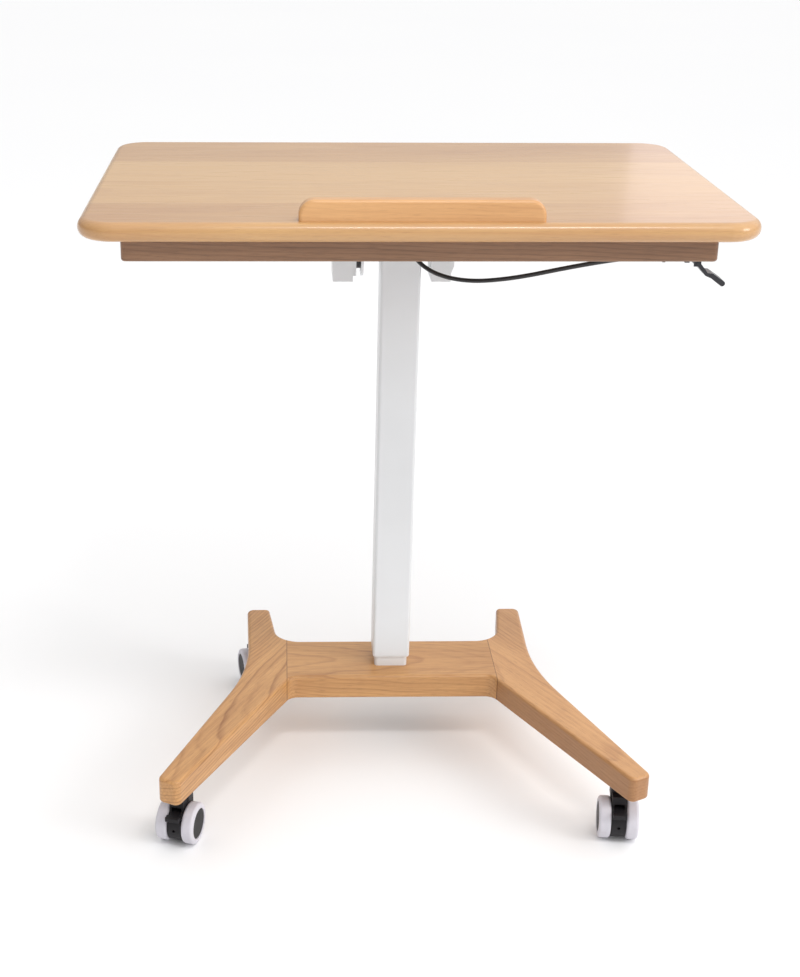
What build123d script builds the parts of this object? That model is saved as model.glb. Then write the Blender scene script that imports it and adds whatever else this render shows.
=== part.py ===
from build123d import *

import os
from math import atan2, cos, radians, sin, tan

# Rolling laptop desk: tilting wooden top on one telescopic column, wooden H base, four twin-wheel
# casters. Millimetres, +Z up, the user sits at -Y. The pieces are drawn about the column's axis with
# the floor at z = 0; save() moves them so that the origin lies on the floor under the tabletop's middle.

# ---- driving dimensions ----
COLUMN_Y = 60.0          # the column stands this far behind the middle of the tabletop
TOP_W, TOP_D, TOP_T = 700.0, 480.0, 20.0
TOP_Z = 757.0            # upper face of the tabletop with the column fully down
TOP_CORNER_R, TOP_EDGE_R = 38.0, 9.5
LOWER_W, LOWER_D, LOWER_T = 612.0, 436.0, 24.0
STOP_W, STOP_D, STOP_H = 250.0, 18.0, 22.0
STOP_SETBACK = 10.0      # from the tabletop's front edge to the book stop
STOP_SUNK = 1.5          # the book stop is let this far into the tabletop

BEAM_TOP, BEAM_T = 105.0, 32.0
SEAM_X = 137.0           # glued joint between beam and leg
OUTER, OUTER_WALL = 48.0, 2.0
INNER, INNER_WALL = 42.0, 2.0
OUTER_BOTTOM, OUTER_TOP = 121.0, 690.0
INNER_TOP = 560.0
LIFT = 340.0

PIVOT_Z = 652.0          # tilt axis, level with the column's axis
EAR_X, EAR_T, EAR_R = 44.6, 3.0, 24.0
YOKE_T = 3.0
PLATE_T = 3.0            # steel mounting plate under the lower board
BOLT_R = 4.0
RUNNING = 0.05           # radial clearance of a turning or sliding fit
GAP = 0.3                # between moving faces that don't bear on each other

WHEEL_R, WHEEL_W = 25.0, 14.5
HUB_R = 18.5
HOUSING_HALF = 8.6       # half width of the housing between the wheels
WHEEL_IN = 9.0           # inner face of a wheel, from the caster's middle
TRAIL = 11.0             # from the stem to the axle
AXLE_R = 3.0
STEM_R = 4.0
# name, stem x, stem y, swivel at rest in degrees
CASTERS = [
    ("front_left", -262.0, -245.0, -18.0),
    ("front_right", 262.0, -245.0, -7.0),
    ("rear_left", -176.0, 120.0, 195.0),
    ("rear_right", 176.0, 120.0, 193.0),
]

LEVER_X, LEVER_Z = 289.0, 708.0      # axis of the hand lever, which runs along Y
LEVER_Y0, LEVER_Y1 = -263.0, -241.0  # front and rear edge of the paddle
CABLE_R = 2.5
CABLE_ROUTE = [                      # from the column's head to the lever's bracket
    (2.0, -21.8, 680.0), (2.0, -44.0, 680.0), (9.0, -62.0, 668.0), (25.0, -77.0, 654.5),
    (48.0, -87.0, 647.0), (76.0, -99.0, 646.0), (104.0, -117.0, 652.5), (132.0, -138.0, 662.5),
    (161.0, -160.0, 675.0), (189.0, -181.0, 686.5), (214.0, -205.0, 697.5), (237.0, -218.0, 703.5),
    (262.0, -218.0, 703.5),
]

LOWER_Z = TOP_Z - TOP_T - LOWER_T    # underside of the lower board
PLATE_Z = LOWER_Z - PLATE_T          # underside of the mounting plate
BEAM_BOTTOM = BEAM_TOP - BEAM_T
TOP_MID_Y = -COLUMN_Y                # middle of the tabletop, from the column's axis

os.makedirs("parts", exist_ok=True)


def save(name, shape):
    """Write one node, in the model's frame."""
    export_step(Pos(0, COLUMN_Y, 0) * shape, f"parts/{name}.step")


def block(x0, x1, y0, y1, z0, z1):
    """Box between two opposite corners."""
    middle = Pos((x0 + x1) / 2, (y0 + y1) / 2, (z0 + z1) / 2)
    return middle * Box(x1 - x0, y1 - y0, z1 - z0)


def rod_z(x, y, z0, z1, r):
    """Upright cylinder."""
    return Pos(x, y, (z0 + z1) / 2) * Cylinder(r, z1 - z0)


def rod_x(y, z, x0, x1, r):
    """Cylinder along X."""
    return Pos((x0 + x1) / 2, y, z) * Rot(0, 90, 0) * Cylinder(r, x1 - x0)


def rod_y(x, z, y0, y1, r):
    """Cylinder along Y."""
    return Pos(x, (y0 + y1) / 2, z) * Rot(90, 0, 0) * Cylinder(r, y1 - y0)


def square_tube(size, wall, z0, z1, corner=4.0):
    """Upright square tube with rounded corners."""
    outside = RectangleRounded(size, size, corner)
    inside = RectangleRounded(size - 2 * wall, size - 2 * wall, corner - wall)
    return Pos(0, 0, z0) * extrude(outside - inside, z1 - z0)


def wood_screw(x, y, z, length, r=2.0):
    """Countersunk screw driven upwards, its head flush with z."""
    head = Pos(x, y, z + r / 2) * Cone(2 * r, r, r)
    return head + rod_z(x, y, z, z + length, r)


# ---- top ----
def top_screw_places():
    """Screws that clamp the lower board, and the mounting plate, to the tabletop."""
    edge_x, edge_y = LOWER_W / 2 - 30, LOWER_D / 2 - 30
    board = [(x, TOP_MID_Y + y) for x in (-edge_x, 0.0, edge_x) for y in (-edge_y, edge_y)]
    plate = [(x, y) for x in (-98.0, 98.0) for y in (-58.0, 58.0)]
    return board, plate


def make_top():
    board_screws, plate_screws = top_screw_places()
    screws = Part()
    for x, y in board_screws:
        screws += wood_screw(x, y, LOWER_Z, LOWER_T + 14)
    for x, y in plate_screws:
        screws += wood_screw(x, y, PLATE_Z, PLATE_T + LOWER_T + 8)
    save("top_screws", screws)

    stop_y = TOP_MID_Y - TOP_D / 2 + STOP_SETBACK + STOP_D / 2
    dowels = Part()
    for x in (-80.0, 80.0):
        dowels += rod_z(x, stop_y, TOP_Z - 13, TOP_Z + 12, 4.0)
    save("book_stop_dowels", dowels)

    outline = RectangleRounded(TOP_W, TOP_D, TOP_CORNER_R)
    top = Pos(0, TOP_MID_Y, TOP_Z - TOP_T) * extrude(outline, TOP_T)
    rims = top.faces().sort_by(Axis.Z)[-1].edges() + top.faces().sort_by(Axis.Z)[0].edges()
    half_w, half_d = STOP_W / 2, STOP_D / 2
    pocket = block(-half_w, half_w, stop_y - half_d, stop_y + half_d, TOP_Z - STOP_SUNK, TOP_Z + 1)
    save("tabletop", fillet(rims, TOP_EDGE_R) - pocket - screws - dowels)

    outline = RectangleRounded(LOWER_W, LOWER_D, 5.0)
    lower = Pos(0, TOP_MID_Y, LOWER_Z) * extrude(outline, LOWER_T)
    lower = fillet(lower.faces().sort_by(Axis.Z)[0].edges(), 3.0)
    save("lower_board", lower - screws)

    plate = block(-110, 110, -70, 70, PLATE_Z, LOWER_Z)
    plate = fillet(plate.edges().filter_by(Axis.Z), 8.0)
    save("mounting_plate", plate - screws)

    face = RectangleRounded(STOP_W, STOP_H * 2, 16.0) - Pos(0, -STOP_H) * Rectangle(STOP_W, STOP_H * 2)
    stop = Pos(0, stop_y + STOP_D / 2, TOP_Z) * Rot(90, 0, 0) * extrude(face, STOP_D)
    front, back = stop.faces().sort_by(Axis.Y)[0], stop.faces().sort_by(Axis.Y)[-1]
    soft = [e for e in front.edges() + back.edges() if e.center().Z > TOP_Z + 0.1]
    foot = block(-half_w, half_w, stop_y - half_d, stop_y + half_d, TOP_Z - STOP_SUNK, TOP_Z)
    save("book_stop", fillet(soft, 4.0) + foot - dowels)


# ---- column ----
def make_column():
    outer = square_tube(OUTER, OUTER_WALL, OUTER_BOTTOM, OUTER_TOP)
    window = block(-7, 11, -OUTER / 2 - 1, -OUTER / 2 + OUTER_WALL + 1, 668, 688)
    save("outer_tube", outer - window)
    save("inner_tube", square_tube(INNER, INNER_WALL, BEAM_BOTTOM, INNER_TOP))

    bore = OUTER - 2 * OUTER_WALL
    slide = RectangleRounded(bore, bore, 2.0) - RectangleRounded(INNER + 0.2, INNER + 0.2, 4.0)
    lip = RectangleRounded(OUTER - 1, OUTER - 1, 3.5) - RectangleRounded(INNER + 0.2, INNER + 0.2, 4.0)
    collar = Pos(0, 0, OUTER_BOTTOM) * extrude(slide, 40) + Pos(0, 0, OUTER_BOTTOM - 1.5) * extrude(lip, 1.5)
    save("column_collar", collar)
    slide = RectangleRounded(bore - 0.2, bore - 0.2, 1.9) - RectangleRounded(INNER, INNER, 4.0)
    save("upper_guide", Pos(0, 0, INNER_TOP - 40) * extrude(slide, 40))


def make_gas_spring():
    bottom, top = BEAM_BOTTOM, 520.0
    radius, bore, rod = 14.0, 12.0, 5.0
    cylinder = rod_z(0, 0, bottom, top, radius) - rod_z(0, 0, bottom + 7, top - 15, bore)
    save("gas_spring_cylinder", cylinder - rod_z(0, 0, top - 20, top + 1, rod + RUNNING))

    head_z, pin_r = 650.0, 2.5
    stem = rod_z(0, 0, 130, head_z, rod) + rod_z(0, 0, 130, 142, bore - RUNNING)
    save("gas_spring_rod", stem - rod_z(0, 0, head_z - 22, head_z + 1, pin_r + RUNNING))
    save("release_pin", rod_z(0, 0, head_z - 18, head_z + 6, pin_r))


def make_release():
    """Block that carries the rod's end, and the bell crank that presses the pin."""
    fit = OUTER - 2 * OUTER_WALL - 0.4
    crank_y, crank_z = 11.0, 664.0
    seat = block(-fit / 2, fit / 2, -fit / 2, fit / 2, 642, 652)
    seat = fillet(seat.edges().filter_by(Axis.Z), 3.0) - rod_z(0, 0, 640, 650, 5.0)
    seat -= rod_z(0, 0, 640, 660, 2.5 + RUNNING)
    for side in (-1, 1):
        seat += block(min(side * 5.5, side * 9), max(side * 5.5, side * 9), 5, 17, 652, 670)
    stop = block(-8, 12, -fit / 2, -fit / 2 + 3.5, 652, 687)
    head = seat + stop - rod_x(crank_y, crank_z, -12, 12, 2.0 + RUNNING) - rod_y(2, 680, -30, -10, 1.0)
    save("release_head", head)

    crank = rod_x(crank_y, crank_z, -4.8, 4.8, 5.0) + rod_x(crank_y, crank_z, -9, 9, 2.0)
    crank += block(-4.8, 4.8, -3, crank_y, 656.4, 660.4)
    crank += block(-4.8, 4.8, crank_y - 2, crank_y + 2, crank_z, 684)
    save("release_crank", crank)


def make_yoke():
    """Inverted U welded to the column, whose ears carry the two pivot bolts."""
    ear_out = EAR_X + EAR_T
    half = 18.0
    web = block(-ear_out, ear_out, -OUTER / 2, OUTER / 2, OUTER_TOP, OUTER_TOP + YOKE_T)
    yoke = web
    for x in (-ear_out, EAR_X):
        ear = block(x, x + EAR_T, -half, half, PIVOT_Z, OUTER_TOP) + rod_x(0, PIVOT_Z, x, x + EAR_T, EAR_R)
        yoke += ear
    save("head_yoke", yoke - rod_x(0, PIVOT_Z, -60, 60, BOLT_R + RUNNING))


def channel(x0, x1, front, bottom):
    """Channel of 3 mm sheet that hangs from the mounting plate, its back open."""
    sheet, back = 3.0, 25.0
    body = block(x0, x1, front, back, bottom, PLATE_Z)
    hollow = block(x0 + sheet, x1 - sheet, front + sheet, back + 1, bottom - 1, PLATE_Z + 1)
    return body - hollow


def make_tilt_hinges():
    left_out, left_mid, left_in = -81.5, -57.6, -53.5
    right_in, right_out, bottom = 36.0, 62.6, 627.0
    bolt_axis = rod_x(0, PIVOT_Z, -100, 100, BOLT_R)
    cheek = block(left_mid, left_in, -24, 24, bottom + 6, PLATE_Z)
    save("tilt_bracket_left", channel(left_out, left_mid, -28, bottom) + cheek - bolt_axis)

    corner = Polyline((right_out + 1, 646.0), (right_out, 646.0), (right_out - 3.5, 637.0),
                      (right_out - 3.5, 620.0), (right_out + 1, 620.0), close=True)
    nick = Pos(0, 30, 0) * Rot(90, 0, 0) * extrude(make_face(corner), 60)
    way = block(right_in - 1, right_in + 3, -25, 26, PIVOT_Z, PLATE_Z + 1)
    way -= rod_x(0, PIVOT_Z, right_in - 2, right_in + 4, 35.0)
    save("tilt_bracket_right", channel(right_in, right_out, -28, bottom) - nick - way - bolt_axis)

    head, flat = 3.5, 6.5
    hexagon = RegularPolygon(flat, 6)
    bolts = rod_x(0, PIVOT_Z, left_out, -EAR_X + 7, BOLT_R) + rod_x(0, PIVOT_Z, right_in - 7, right_out, BOLT_R)
    for x0 in (left_out - head, right_out):
        bolts += Pos(x0, 0, PIVOT_Z) * Rot(0, 90, 0) * extrude(hexagon, head)
    for x0 in (-EAR_X + GAP, right_in - 6.4 - GAP):
        bolts += Pos(x0, 0, PIVOT_Z) * Rot(0, 90, 0) * extrude(hexagon, 6.4)
    save("pivot_bolts", bolts)

    ear_out = EAR_X + EAR_T
    washers = Part()
    for x0, x1, r in ((left_in, -ear_out - GAP, 15.0), (right_in + 3, EAR_X - GAP, 12.0),
                      (ear_out + GAP, right_out - 3, 9.0)):
        washers += rod_x(0, PIVOT_Z, x0, x1, r) - rod_x(0, PIVOT_Z, x0 - 1, x1 + 1, BOLT_R)
    save("friction_washers", washers)


# ---- hand lever and cable ----
def make_lever():
    y0, y1 = -265.0, -210.0
    left, right = 262.0, 302.0
    seat_top = LOWER_Z - 1.5
    plate = block(left, right, y0, y1, seat_top, LOWER_Z)
    cheek_y = [(y0 + 0.5, y0 + 1.7), (y1 - 3, y1)]
    bracket = plate
    for a, b in cheek_y:
        bracket += block(LEVER_X - 4, LEVER_X + 3.5, a, b, LEVER_Z - 3, seat_top)
    cable_seat = block(left, left + 3, -224, -212, 699.5, seat_top)
    bracket += cable_seat - rod_x(-218, 703.5, left - 1, left + 4, 1.0)
    save("lever_bracket", bracket - rod_y(LEVER_X, LEVER_Z, -280, -200, 1.5))
    save("lever_pin", rod_y(LEVER_X, LEVER_Z, y0, y1, 1.5))

    hub = rod_y(LEVER_X, LEVER_Z, LEVER_Y0, y1 - 3 - GAP, 3.0)
    paddle = [(1.4, -0.8), (10.5, -11.7), (17.3, -13.0), (28.0, -21.5)]
    outline = make_lever_outline(paddle)
    blade = Pos(0, LEVER_Y1, 0) * Rot(90, 0, 0) * extrude(outline, LEVER_Y1 - LEVER_Y0)
    arm = block(LEVER_X - 2.5, LEVER_X + 2.5, -222, -214.5, 698.5, LEVER_Z)
    lever = hub + blade + arm - rod_y(LEVER_X, LEVER_Z, -280, -200, 1.5 + RUNNING)
    save("release_lever", lever)


def make_lever_outline(paddle):
    """Side outline of the paddle: a bent strip with a rounded tip, thicker in the grip."""
    (ax, az), (bx, bz), (cx, cz), (dx, dz) = [(LEVER_X + a, LEVER_Z + b) for a, b in paddle]
    half, grip = 2.2, 2.9
    root_turn = radians(-46)
    nx, nz = -sin(root_turn), cos(root_turn)
    tip_turn = atan2(dz - cz, dx - cx)
    tx, tz = -sin(tip_turn), cos(tip_turn)
    upper = [(ax + nx * half, az + nz * half), (bx + nx * half * 0.8, bz + nz * half),
             (cx, cz + half), (dx + tx * grip, dz + tz * grip)]
    lower = [(dx - tx * grip, dz - tz * grip), (cx - 1.5, cz - grip), (bx - nx * half * 0.6, bz - nz * half),
             (ax - nx * half, az - nz * half)]
    tip = (dx + cos(tip_turn) * grip, dz + sin(tip_turn) * grip)
    nose = ThreePointArc(upper[-1], tip, lower[0])
    closing = Line(lower[-1], upper[0])
    wire = [Polyline(*upper), nose, Polyline(*lower), closing]
    return make_face(Curve() + wire)


def cable_path():
    """Straight runs joined by arcs as large as the two runs allow."""
    points = [Vector(*p) for p in CABLE_ROUTE]
    radii = []
    for before, here, after in zip(points, points[1:], points[2:]):
        into, out = here - before, after - here
        turn = radians(into.get_angle(out))
        radii.append(0.45 * min(into.length, out.length) / tan(turn / 2))
    print("cable radii", [round(r, 1) for r in radii])
    return FilletPolyline(*CABLE_ROUTE, radius=radii)


def make_cable():
    path = cable_path()
    section = Plane(origin=path @ 0, z_dir=path % 0) * Circle(CABLE_R)
    cable = sweep(section, path=path)
    print("cable length", round(path.length, 1), "volume ratio",
          round(cable.volume / (path.length * 3.14159265 * CABLE_R ** 2), 4))
    save("release_cable", cable)


# ---- base ----
def base_outline():
    """Beam and both legs in plan, as one smooth outline."""
    right = [(149.2, 50.0, 35.0), (161.5, 147.0, 6.0), (192.5, 147.0, 9.0), (187.1, -26.7, 325.0),
             (289.0, -287.5, 9.0), (264.0, -300.5, 8.0), (132.0, -50.0, 16.0)]
    left = [(-x, y, r) for x, y, r in reversed(right)]
    corners = right + left
    points = [(x, y) for x, y, _ in corners]
    return make_face(FilletPolyline(*points, radius=[r for _, _, r in corners], close=True))


def make_base():
    base = Pos(0, 0, BEAM_BOTTOM) * extrude(base_outline(), BEAM_T)
    base = fillet(base.faces().sort_by(Axis.Z)[-1].edges(), 4.5)
    base = fillet(base.faces().sort_by(Axis.Z)[0].edges(), 2.5)

    dowels = Part()
    for x in (-SEAM_X, SEAM_X):
        for y in (-30.0, 0.0, 30.0):
            dowels += rod_x(y, BEAM_TOP - BEAM_T / 2, x - 24, x + 24, 5.0)
    save("joint_dowels", dowels)

    stems, sockets = Part(), Part()
    for _, x, y, _ in CASTERS:
        socket = rod_z(x, y, BEAM_BOTTOM, BEAM_BOTTOM + 24, 5.5)
        sockets += socket
        stems += socket + rod_z(x, y, BEAM_BOTTOM - 1.5, BEAM_BOTTOM, 9.0) + rod_z(x, y, 54, 73, STEM_R)
    save("caster_stems", stems)

    mortise = Pos(0, 0, BEAM_BOTTOM - 1) * extrude(RectangleRounded(INNER, INNER, 4.0), BEAM_T + 2)
    plate = block(-60, 60, -34, 34, BEAM_BOTTOM - 4, BEAM_BOTTOM)
    plate = fillet(plate.edges().filter_by(Axis.Z), 6.0)
    screws = Part()
    for x in (-48.0, 48.0):
        for y in (-24.0, 24.0):
            screws += wood_screw(x, y, BEAM_BOTTOM - 4, 26, 2.5)
    save("base_plate_screws", screws)
    save("base_plate", plate - screws)

    wood = base - dowels - sockets - mortise - screws
    reach, tall = 400.0, BEAM_T + 10
    middle = block(-SEAM_X, SEAM_X, -reach, reach, BEAM_BOTTOM - 5, BEAM_BOTTOM + tall)
    right = block(SEAM_X, reach, -reach, reach, BEAM_BOTTOM - 5, BEAM_BOTTOM + tall)
    left = block(-reach, -SEAM_X, -reach, reach, BEAM_BOTTOM - 5, BEAM_BOTTOM + tall)
    save("beam", wood & middle)
    save("leg_right", wood & right)
    save("leg_left", wood & left)


# ---- casters, drawn with the stem on the Z axis and the wheels trailing to -Y ----
def caster_place(x, y, swivel):
    return Pos(x, y, 0) * Rot(0, 0, swivel)


def tyre(side):
    """Soft tread, rounded at both shoulders."""
    x0, x1 = side * WHEEL_IN, side * (WHEEL_IN + WHEEL_W)
    ring = rod_x(-TRAIL, WHEEL_R, min(x0, x1), max(x0, x1), WHEEL_R)
    ring = fillet(ring.edges(), 3.5)
    return ring - rod_x(-TRAIL, WHEEL_R, -30, 30, HUB_R)


def hub(side):
    """Wheel centre with a slightly domed outer cap and the axle's blind bore."""
    x0, x1 = side * WHEEL_IN, side * (WHEEL_IN + WHEEL_W - 0.5)
    core = rod_x(-TRAIL, WHEEL_R, min(x0, x1), max(x0, x1), HUB_R)
    cap = core.faces().sort_by(Axis.X)[-1 if side > 0 else 0]
    core = chamfer(cap.edges(), 1.2)
    bore = rod_x(-TRAIL, WHEEL_R, -(WHEEL_IN + WHEEL_W - 4), WHEEL_IN + WHEEL_W - 4, AXLE_R + RUNNING)
    return core - bore


PEDAL_Y, PEDAL_Z = -TRAIL - 7.0, WHEEL_R + 16.0    # brake pedal's axis


def housing():
    """Body between the wheels, drawn out at the top into a neck that reaches the stem's flange."""
    half, top = HOUSING_HALF, BEAM_BOTTOM - 1.5 - GAP
    body = rod_x(-TRAIL, WHEEL_R, -half, half, 23.0)
    body += block(-half, half, -TRAIL - 12, 10.5, WHEEL_R, 60)
    body += Pos(0, -1, 52) * extrude(RectangleRounded(2 * half + 3.5, 24.0, 6.0), top - 52)
    body -= rod_x(-TRAIL, WHEEL_R, -30, 30, AXLE_R) + rod_z(0, 0, 53.5, 80, STEM_R + RUNNING)
    slot = block(-6.3, 6.3, -60, -TRAIL + 1, WHEEL_R + 10.5, 50)
    shelf = block(-half - 1, half + 1, -60, PEDAL_Y - 11.0, WHEEL_R + 10.5, 50)
    hole = rod_y(0, WHEEL_R - 1, -60, -TRAIL - 19, 1.8)
    return body - slot - shelf - hole - rod_x(PEDAL_Y, PEDAL_Z, -30, 30, 1.5 + RUNNING)


def brake_pedal():
    """Pedal that tips about a cross pin: an arm in the housing's slot and a tread across its front."""
    arm = rod_x(PEDAL_Y, PEDAL_Z, -6, 6, 3.6) + rod_x(PEDAL_Y, PEDAL_Z, -8.3, 8.3, 1.5)
    reach = block(-6, 6, PEDAL_Y - 16, PEDAL_Y, PEDAL_Z - 2.2, PEDAL_Z + 3.2)
    tread = block(-8.3, 8.3, PEDAL_Y - 21, PEDAL_Y - 13.5, PEDAL_Z - 2.2, PEDAL_Z + 3.8)
    tread = fillet(tread.edges().filter_by(Axis.X), 1.5)
    return arm + reach + tread


def make_casters():
    for name, x, y, swivel in CASTERS:
        place = caster_place(x, y, swivel)
        save(f"caster_{name}_housing", place * housing())
        save(f"caster_{name}_brake", place * brake_pedal())
        end = WHEEL_IN + WHEEL_W - 4.5
        save(f"caster_{name}_axle", place * rod_x(-TRAIL, WHEEL_R, -end, end, AXLE_R))
        for label, side in (("left", -1), ("right", 1)):
            save(f"caster_{name}_tyre_{label}", place * tyre(side))
            save(f"caster_{name}_hub_{label}", place * hub(side))


make_top()
make_column()
make_gas_spring()
make_release()
make_yoke()
make_tilt_hinges()
make_lever()
make_cable()
make_base()
make_casters()
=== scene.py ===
from math import radians

import bpy
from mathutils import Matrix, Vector


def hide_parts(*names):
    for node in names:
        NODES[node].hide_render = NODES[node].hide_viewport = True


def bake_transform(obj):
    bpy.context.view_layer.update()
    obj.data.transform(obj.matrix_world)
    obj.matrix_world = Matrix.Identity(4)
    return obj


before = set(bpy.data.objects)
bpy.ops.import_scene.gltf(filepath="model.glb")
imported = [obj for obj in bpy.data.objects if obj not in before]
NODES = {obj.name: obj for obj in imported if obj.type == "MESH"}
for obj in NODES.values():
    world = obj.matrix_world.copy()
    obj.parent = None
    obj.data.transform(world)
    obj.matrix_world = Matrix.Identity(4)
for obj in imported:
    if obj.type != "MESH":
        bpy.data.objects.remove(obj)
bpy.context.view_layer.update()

CASTERS = ("front_left", "front_right", "rear_left", "rear_right")


# ---- camera ----
camera_data = bpy.data.cameras.new("camera")
camera_data.lens = 57.41
camera_data.shift_x = 0.0819
camera_data.clip_end = 20
camera = bpy.data.objects.new("camera", camera_data)
camera.location = (-0.1409, -1.7770, 1.1013)
camera.rotation_euler = (radians(67.75), radians(-0.352), radians(-1.306))
bpy.context.scene.collection.objects.link(camera)
bpy.context.scene.camera = camera
bpy.context.scene.view_settings.view_transform = "Standard"


# ---- release cable ----
# Centre line in metres, from the column's head to the lever's bracket.
CABLE_ROUTE = [
    (0.002, 0.0382, 0.680), (0.002, 0.016, 0.680), (0.009, -0.002, 0.668),
    (0.025, -0.017, 0.6545), (0.048, -0.027, 0.647), (0.076, -0.039, 0.646),
    (0.104, -0.057, 0.6525), (0.132, -0.078, 0.6625), (0.161, -0.100, 0.675),
    (0.189, -0.121, 0.6865), (0.214, -0.145, 0.6975), (0.237, -0.158, 0.7035),
    (0.262, -0.158, 0.7035),
]
CABLE_D = 0.005
CABLE_STEPS = 10          # mesh steps between two points of the route
CABLE_ROUNDNESS = 5       # bevel resolution of the tube


def add_cable():
    """Tube along the route's spline, as a mesh."""
    curve = bpy.data.curves.new("cable_route", "CURVE")
    curve.dimensions = "3D"
    curve.resolution_u = CABLE_STEPS
    spline = curve.splines.new("NURBS")
    spline.points.add(len(CABLE_ROUTE) - 1)
    for point, place in zip(spline.points, CABLE_ROUTE):
        point.co = (*place, 1)
    spline.order_u = 3
    spline.use_endpoint_u = True
    route = bpy.data.objects.new("cable_route", curve)
    bpy.context.scene.collection.objects.link(route)
    line = bpy.data.meshes.new_from_object(route)
    curve.bevel_depth = CABLE_D / 2
    curve.bevel_resolution = CABLE_ROUNDNESS
    curve.use_fill_caps = True
    bpy.context.view_layer.update()
    tube = bpy.data.meshes.new_from_object(route)
    bpy.data.objects.remove(route)
    cable = bpy.data.objects.new("release_cable_sheath", tube)
    bpy.context.scene.collection.objects.link(cable)
    tube.shade_smooth()
    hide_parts("release_cable")
    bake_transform(cable)
    return cable


cable = add_cable()


# ---- shader helpers ----
def srgb(r, g, b):
    """Linear colour of an 8-bit sRGB triple."""
    def one(v):
        v /= 255
        return v / 12.92 if v <= 0.04045 else ((v + 0.055) / 1.055) ** 2.4
    return (one(r), one(g), one(b), 1.0)


def shaded(color, factor):
    """The colour with its red, green and blue multiplied by factor."""
    return tuple(c * factor for c in color[:3]) + (1.0,)


class Graph:
    """Node tree of one material, with a line per node."""

    def __init__(self, name):
        self.material = bpy.data.materials.new(name)
        self.material.use_nodes = True
        self.nodes = self.material.node_tree.nodes
        self.links = self.material.node_tree.links
        self.shader = self.nodes["Principled BSDF"]

    def put(self, socket, value):
        if isinstance(value, bpy.types.NodeSocket):
            self.links.new(value, socket)
        else:
            socket.default_value = value

    def add(self, kind, inputs=None, **settings):
        node = self.nodes.new(kind)
        for key, value in settings.items():
            setattr(node, key, value)
        for key, value in (inputs or {}).items():
            self.put(node.inputs[key], value)
        return node

    def coordinates(self):
        return self.add("ShaderNodeTexCoord").outputs["Object"]

    def math(self, operation, a, b=0.0, c=0.0):
        return self.add("ShaderNodeMath", {0: a, 1: b, 2: c}, operation=operation).outputs[0]

    def noise(self, vector, scale, detail=2.0, roughness=0.5):
        node = self.add("ShaderNodeTexNoise", {"Vector": vector, "Scale": scale,
                                               "Detail": detail, "Roughness": roughness})
        return node.outputs["Fac"]

    def white(self, value):
        """Random number between 0 and 1 for each value."""
        return self.add("ShaderNodeTexWhiteNoise", {"W": value}, noise_dimensions="1D").outputs[0]

    def stretch(self, vector, scale, location=(0, 0, 0)):
        inputs = {"Vector": vector, "Scale": scale, "Location": location}
        return self.add("ShaderNodeMapping", inputs).outputs[0]

    def ramp(self, value, *stops):
        """Grey ramp through (position, brightness) stops."""
        node = self.add("ShaderNodeValToRGB", {"Fac": value})
        elements = node.color_ramp.elements
        while len(elements) < len(stops):
            elements.new(0.5)
        for element, (position, grey) in zip(elements, stops):
            element.position = position
            element.color = (grey, grey, grey, 1)
        return node.outputs["Color"]

    def mix(self, factor, a, b):
        node = self.add("ShaderNodeMix", data_type="RGBA")
        self.put(node.inputs["Factor"], factor)
        self.put(node.inputs[6], a)
        self.put(node.inputs[7], b)
        return node.outputs[2]

    def spread(self, value, low, high, new_low, new_high):
        return self.add("ShaderNodeMapRange", {"Value": value, "From Min": low, "From Max": high,
                                               "To Min": new_low, "To Max": new_high}).outputs[0]

    def centred(self, value, new_low, new_high):
        """Noise, which mostly lies between 0.3 and 0.7, spread from new_low to new_high."""
        return self.spread(value, 0.3, 0.7, new_low, new_high)

    def finish(self, color, roughness, bump=None, strength=0.3, distance=0.0005, **others):
        self.put(self.shader.inputs["Base Color"], color)
        self.put(self.shader.inputs["Roughness"], roughness)
        if bump is not None:
            inputs = {"Height": bump, "Strength": strength, "Distance": distance}
            node = self.add("ShaderNodeBump", inputs)
            self.links.new(node.outputs[0], self.shader.inputs["Normal"])
        for key, value in others.items():
            self.put(self.shader.inputs[key.replace("_", " ")], value)
        return self.material


STAVE_OFFSET = 0.021      # shifts the glue lines of a glued board across the grain
SEAM_HALF = 0.00045       # half the width of a glue line in the base


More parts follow.
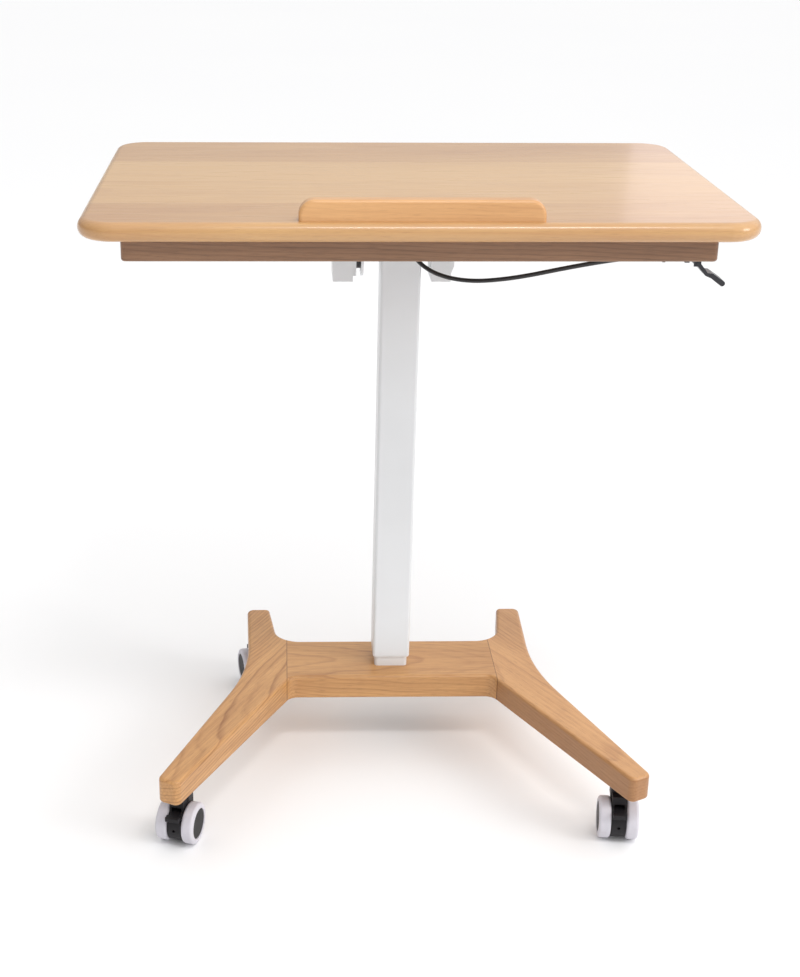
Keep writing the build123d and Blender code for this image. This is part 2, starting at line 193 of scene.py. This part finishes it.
def wood(name, light, dark, turn=0.0, pith=(0.0, 0.0), tilt=0.07, spacing=0.004, contrast=0.5,
         stave=0.0, seed=0.0, pore=0.3, roughness=0.36, coat=0.2, seam=0.0, fibres=1.0,
         coat_rough=0.2, sides=0.0):
    """Lacquered hardwood, sawn from a log whose pith runs along X, turned about Z by turn degrees.

    pith is where it passes, across the grain and in height, and tilt its slope along the grain.
    spacing is the width of a year ring. stave is the width of glued boards, and seam the distance
    from the object's middle of a glue line across the piece. sides is painted shade: how much
    darker the upright faces are painted."""
    g = Graph(name)
    start = g.coordinates()
    place = g.add("ShaderNodeVectorRotate", {"Vector": start, "Angle": radians(-turn)},
                  rotation_type="Z_AXIS").outputs[0]
    x, y, z = g.add("ShaderNodeSeparateXYZ", {0: place}).outputs
    across = g.math("SUBTRACT", y, pith[0])
    if stave:
        row = g.math("FLOOR", g.math("DIVIDE", g.math("ADD", y, STAVE_OFFSET), stave))
        tone = g.white(g.math("ADD", row, seed))
        middle = g.math("MULTIPLY", g.math("ADD", row, g.math("ADD", tone, -0.1)), stave)
        across = g.math("SUBTRACT", y, middle)
        x = g.math("ADD", x, g.math("MULTIPLY", tone, 9.0))
    place = g.add("ShaderNodeCombineXYZ", {0: x, 1: y, 2: z}).outputs[0]

    # year rings, by distance from the pith, bent by a slow and a quick noise
    wander = g.noise(g.stretch(place, (3.2, 7.0, 7.0), (seed, seed, 0)), 1.0)
    ripple = g.noise(g.stretch(place, (11.0, 30.0, 30.0), (seed, 0, 0)), 1.0)
    across = g.math("ADD", across, g.centred(wander, -0.014, 0.014))
    up = g.math("ADD", g.math("SUBTRACT", z, pith[1]), g.math("MULTIPLY", x, tilt))
    up = g.math("ADD", up, g.centred(ripple, -0.0014, 0.0014))
    squares = g.math("ADD", g.math("MULTIPLY", across, across), g.math("MULTIPLY", up, up))
    year = g.math("DIVIDE", g.math("SQRT", squares), spacing)
    lines = g.ramp(g.math("FRACT", year),
                   (0.0, 0.30), (0.14, 0.0), (0.62, 0.12), (0.92, 1.0), (1.0, 0.30))
    weight = g.white(g.math("FLOOR", year))
    lines = g.math("MULTIPLY", lines, g.spread(weight, 0.0, 1.0, 0.35, 1.0))

    # fibres, pores and broad clouds along the grain
    fibre = g.noise(g.stretch(place, (6.0, 300.0, 300.0)), 1.0, 4.0, 0.6)
    pores = g.ramp(g.noise(g.stretch(place, (60.0, 1400.0, 1400.0)), 1.0, 1.0),
                   (0.56, 0.0), (0.70, 1.0))
    cloud = g.noise(g.stretch(place, (3.0, 16.0, 16.0), (3, 1, seed)), 1.0, 3.0, 0.55)

    # amount of the dark colour, then the darker spots, the painted shade on upright faces and the
    # glue lines
    amount = g.math("ADD", g.math("MULTIPLY", lines, contrast),
                    g.centred(fibre, -0.14 * fibres, 0.22 * fibres))
    amount = g.math("ADD", amount, g.centred(cloud, -0.16, 0.20))
    if stave:
        amount = g.math("ADD", amount, g.spread(tone, 0.0, 1.0, -0.20, 0.26))
    amount = g.add("ShaderNodeClamp", {0: g.math("ADD", amount, 0.10)}).outputs[0]
    color = g.mix(amount, light, dark)
    shade = shaded(dark, 0.5)
    color = g.mix(g.math("MULTIPLY", pores, pore), color, shade)
    # painted shade: upright faces are mixed towards the darkened wood colour, standing in for
    # shade on the sides
    if sides:
        normal = g.add("ShaderNodeTexCoord").outputs["Normal"]
        flat = g.math("ABSOLUTE", g.add("ShaderNodeSeparateXYZ", {0: normal}).outputs[2])
        color = g.mix(g.spread(flat, 0.2, 0.9, sides, 0.0), color, shaded(dark, 0.8))
    if seam:
        side = g.math("ABSOLUTE", g.add("ShaderNodeSeparateXYZ", {0: start}).outputs[0])
        line = g.math("COMPARE", side, seam, SEAM_HALF)
        color = g.mix(g.math("MULTIPLY", line, 0.75), color, shade)
    bump = g.math("ADD", g.math("MULTIPLY", fibre, 0.4), g.math("MULTIPLY", pores, -0.5))
    rough = g.centred(fibre, roughness - 0.04, roughness + 0.07)
    return g.finish(color, rough, bump, 0.25, 0.00025,
                    Coat_Weight=coat, Coat_Roughness=coat_rough)


def plastic(name, color, roughness=0.42, grain=2200.0, strength=0.25, shine=0.5):
    """Moulded plastic with a fine spark-eroded grain and slight tonal drift."""
    g = Graph(name)
    place = g.coordinates()
    fine = g.noise(place, grain, 2.0, 0.6)
    broad = g.noise(place, 35.0, 3.0, 0.6)
    lighter = tuple(min(1.0, c * 1.35 + 0.004) for c in color[:3]) + (1.0,)
    tone = g.mix(g.centred(broad, 0.0, 0.6), color, lighter)
    rough = g.centred(broad, roughness - 0.05, roughness + 0.08)
    return g.finish(tone, rough, fine, strength, 0.0002, Specular_IOR_Level=shine)


def paint(name, color, roughness=0.34):
    """Powder coat: faint orange peel and a little tonal drift."""
    g = Graph(name)
    place = g.coordinates()
    peel = g.noise(place, 900.0)
    broad = g.noise(place, 9.0)
    tone = g.mix(g.centred(broad, 0.0, 1.0), color, shaded(color, 0.955))
    return g.finish(tone, roughness, peel, 0.12, 0.0002, Coat_Weight=0.15, Coat_Roughness=0.2)


def metal(name, color, roughness=0.3):
    """Bare or plated metal with fine drawing lines along Z."""
    g = Graph(name)
    lines = g.noise(g.stretch(g.coordinates(), (900.0, 900.0, 20.0)), 1.0, 3.0, 0.6)
    tone = g.mix(lines, color, shaded(color, 0.82))
    rough = g.centred(lines, roughness - 0.08, roughness + 0.1)
    return g.finish(tone, rough, lines, 0.12, 0.0001, Metallic=1.0)


def rubber(name, color):
    """Smooth non-marking tread with a trace of moulding haze."""
    g = Graph(name)
    place = g.coordinates()
    haze = g.noise(place, 60.0, 4.0, 0.65)
    fine = g.noise(place, 1800.0)
    tone = g.mix(g.centred(haze, 0.0, 1.0), color, shaded(color, 0.90))
    return g.finish(tone, g.centred(haze, 0.42, 0.56), fine, 0.18, 0.0002)


# ---- materials ----
GLUE_SEAM = 0.137         # distance of the base's glue lines from the middle
LOOKS = {
    "tabletop": wood("beech_top", srgb(210, 167, 112), srgb(172, 120, 76), pith=(0, 0.62),
                     tilt=0.03, spacing=0.006, contrast=0.18, stave=0.118, seed=2.3, pore=0.15,
                     roughness=0.30, coat=0.5, fibres=0.55, coat_rough=0.13),
    "book_stop": wood("beech_stop", srgb(218, 167, 112), srgb(186, 132, 82), pith=(-0.20, 0.70),
                      tilt=0.05, spacing=0.005, contrast=0.22, seed=7.7, pore=0.18,
                      roughness=0.34),
    # painted shade: the lower board's colours are darkened for the shade it lies in under the
    # tabletop's overhang
    "lower_board": wood("beech_lower_painted_shade", srgb(152, 113, 82), srgb(102, 70, 48), pith=(0, 0.60),
                        tilt=0.04, spacing=0.005, contrast=0.4, stave=0.11, seed=4.1),
    "beam": wood("ash_beam", srgb(206, 155, 98), srgb(146, 92, 50), pith=(0.050, 0.020),
                 tilt=0.07, spacing=0.0044, contrast=0.38, seed=1.9, seam=GLUE_SEAM),
    "leg_left": wood("ash_leg_left", srgb(212, 160, 102), srgb(140, 87, 44), turn=62,
                     pith=(0.118, 0.030), tilt=-0.075, spacing=0.0046, contrast=0.56, seed=5.2,
                     seam=GLUE_SEAM),
    # this leg's upright faces are painted darker, as painted shade
    "leg_right": wood("ash_leg_right", srgb(208, 156, 102), srgb(146, 93, 52), turn=-60,
                      pith=(0.124, 0.034), tilt=0.045, spacing=0.0042, contrast=0.33, seed=8.6,
                      seam=GLUE_SEAM, sides=0.5),
}
DOWEL = wood("dowel_birch", srgb(226, 196, 150), srgb(196, 158, 110), spacing=0.002, contrast=0.2)
WHITE = paint("white_powder_coat", srgb(228, 230, 232))
BLACK_PAINT = paint("black_paint", srgb(38, 38, 40), 0.4)
TUBE = paint("inner_tube_white", srgb(234, 236, 238), 0.30)
ZINC = metal("zinc_plate", srgb(190, 190, 186), 0.34)
CHROME = metal("hard_chrome", srgb(205, 206, 210), 0.12)
NYLON = plastic("black_nylon", srgb(44, 43, 45), 0.40)
CASTER_BLACK = plastic("caster_nylon", srgb(27, 25, 28), 0.50, shine=0.28)
LEVER_BLACK = plastic("lever_plastic", srgb(34, 34, 40), 0.28, 1500.0, 0.15)
SHEATH = plastic("cable_sheath", srgb(36, 36, 38), 0.36, 1200.0, 0.12)
TYRE = rubber("grey_tread", srgb(214, 211, 219))

SHARED = (
    (DOWEL, ("joint_dowels", "book_stop_dowels")),
    (WHITE, ("outer_tube", "head_yoke", "tilt_bracket_left", "tilt_bracket_right",
             "mounting_plate")),
    (BLACK_PAINT, ("base_plate", "gas_spring_cylinder", "lever_pin")),
    (ZINC, ("top_screws", "base_plate_screws", "pivot_bolts", "release_head", "release_crank",
            "caster_stems")),
    (CHROME, ("gas_spring_rod", "release_pin")),
    (NYLON, ("upper_guide", "friction_washers")),
    (TUBE, ("inner_tube",)),
    (paint("collar_white", srgb(234, 236, 238), 0.4), ("column_collar",)),
    (LEVER_BLACK, ("release_lever", "lever_bracket")),
)
for shared_look, names in SHARED:
    for node in names:
        LOOKS[node] = shared_look
for caster in CASTERS:
    LOOKS[f"caster_{caster}_axle"] = ZINC
    for part in ("housing", "brake", "hub_left", "hub_right"):
        LOOKS[f"caster_{caster}_{part}"] = CASTER_BLACK
    for side in ("left", "right"):
        LOOKS[f"caster_{caster}_tyre_{side}"] = TYRE


def dress(obj, material):
    obj.data.materials.clear()
    obj.data.materials.append(material)


for node, obj in NODES.items():
    if node in LOOKS:
        dress(obj, LOOKS[node])
dress(cable, SHEATH)


# ---- softened edges on folded, cut and moulded pieces ----
SHARP_FROM = radians(38)  # edges flatter than this stay as they are
SHEET_EDGE = 0.0005
LEVER_EDGE = 0.0008


def soften(node, width, segments=3):
    bevel = NODES[node].modifiers.new("edge", "BEVEL")
    bevel.width = width
    bevel.segments = segments
    bevel.limit_method = "ANGLE"
    bevel.angle_limit = SHARP_FROM
    bevel.harden_normals = False


for node in ("head_yoke", "tilt_bracket_left", "tilt_bracket_right", "mounting_plate",
             "lever_bracket"):
    soften(node, SHEET_EDGE, 2)
soften("release_lever", LEVER_EDGE)


# ---- light ----
def area_light(name, place, target, size, energy, color=(1, 1, 1)):
    """Rectangular light, size wide and high, facing target."""
    data = bpy.data.lights.new(name, "AREA")
    data.shape = "RECTANGLE"
    data.size, data.size_y = size
    data.energy = energy
    data.color = color
    light = bpy.data.objects.new(name, data)
    light.location = place
    light.rotation_euler = (Vector(target) - Vector(place)).to_track_quat("-Z", "Y").to_euler()
    bpy.context.scene.collection.objects.link(light)


area_light("key", (2.5, -1.3, 1.7), (0, 0, 0.3), (0.9, 0.9), 19)
area_light("softbox", (0.35, -1.3, 2.7), (0, -0.1, 0.5), (0.9, 0.3), 15)
area_light("window", (1.12, 2.3, 1.30), (0.3, 0, 0.76), (0.7, 0.8), 0.95, (1.0, 0.90, 1.0))


# Strength of the room's light, from low to overhead and from left to right.
ROOM_HEIGHT = (0.53, 1.49)
ROOM_SIDE = (0.46, 1.22)


def light_world():
    """Pale room, brightest overhead and on the right, dimmer low down and on the left."""
    world = bpy.data.worlds.new("room")
    bpy.context.scene.world = world
    world.use_nodes = True
    nodes, links = world.node_tree.nodes, world.node_tree.links
    background = nodes["Background"]
    axes = nodes.new("ShaderNodeSeparateXYZ")
    links.new(nodes.new("ShaderNodeTexCoord").outputs["Generated"], axes.inputs[0])

    def spread(value, low, high, new_low, new_high):
        node = nodes.new("ShaderNodeMapRange")
        links.new(value, node.inputs["Value"])
        for key, number in (("From Min", low), ("From Max", high),
                            ("To Min", new_low), ("To Max", new_high)):
            node.inputs[key].default_value = number
        return node.outputs[0]

    overhead = spread(axes.outputs[2], 0.0, 0.9, *ROOM_HEIGHT)
    sideways = spread(axes.outputs[0], -0.9, 0.9, *ROOM_SIDE)
    strength = nodes.new("ShaderNodeMath")
    strength.operation = "MULTIPLY"
    links.new(overhead, strength.inputs[0])
    links.new(sideways, strength.inputs[1])
    links.new(strength.outputs[0], background.inputs["Strength"])
    background.inputs["Color"].default_value = (1, 1, 1, 1)


FLOOR_HALF = 40.0         # half its width, so wide that its edge never shows
FLOOR_DROP = 0.0002       # gap under the wheels


def add_floor():
    """Plain pale floor."""
    h = FLOOR_HALF
    mesh = bpy.data.meshes.new("floor")
    mesh.from_pydata([(-h, -h, 0), (h, -h, 0), (h, h, 0), (-h, h, 0)], [], [(0, 1, 2, 3)])
    floor = bpy.data.objects.new("floor", mesh)
    floor.location.z = -FLOOR_DROP
    bpy.context.scene.collection.objects.link(floor)
    g = Graph("pale_floor")
    haze = g.noise(g.coordinates(), 0.6)
    tone = g.mix(haze, srgb(250, 250, 250), srgb(248, 248, 249))
    mesh.materials.append(g.finish(tone, 0.9))


light_world()
add_floor()
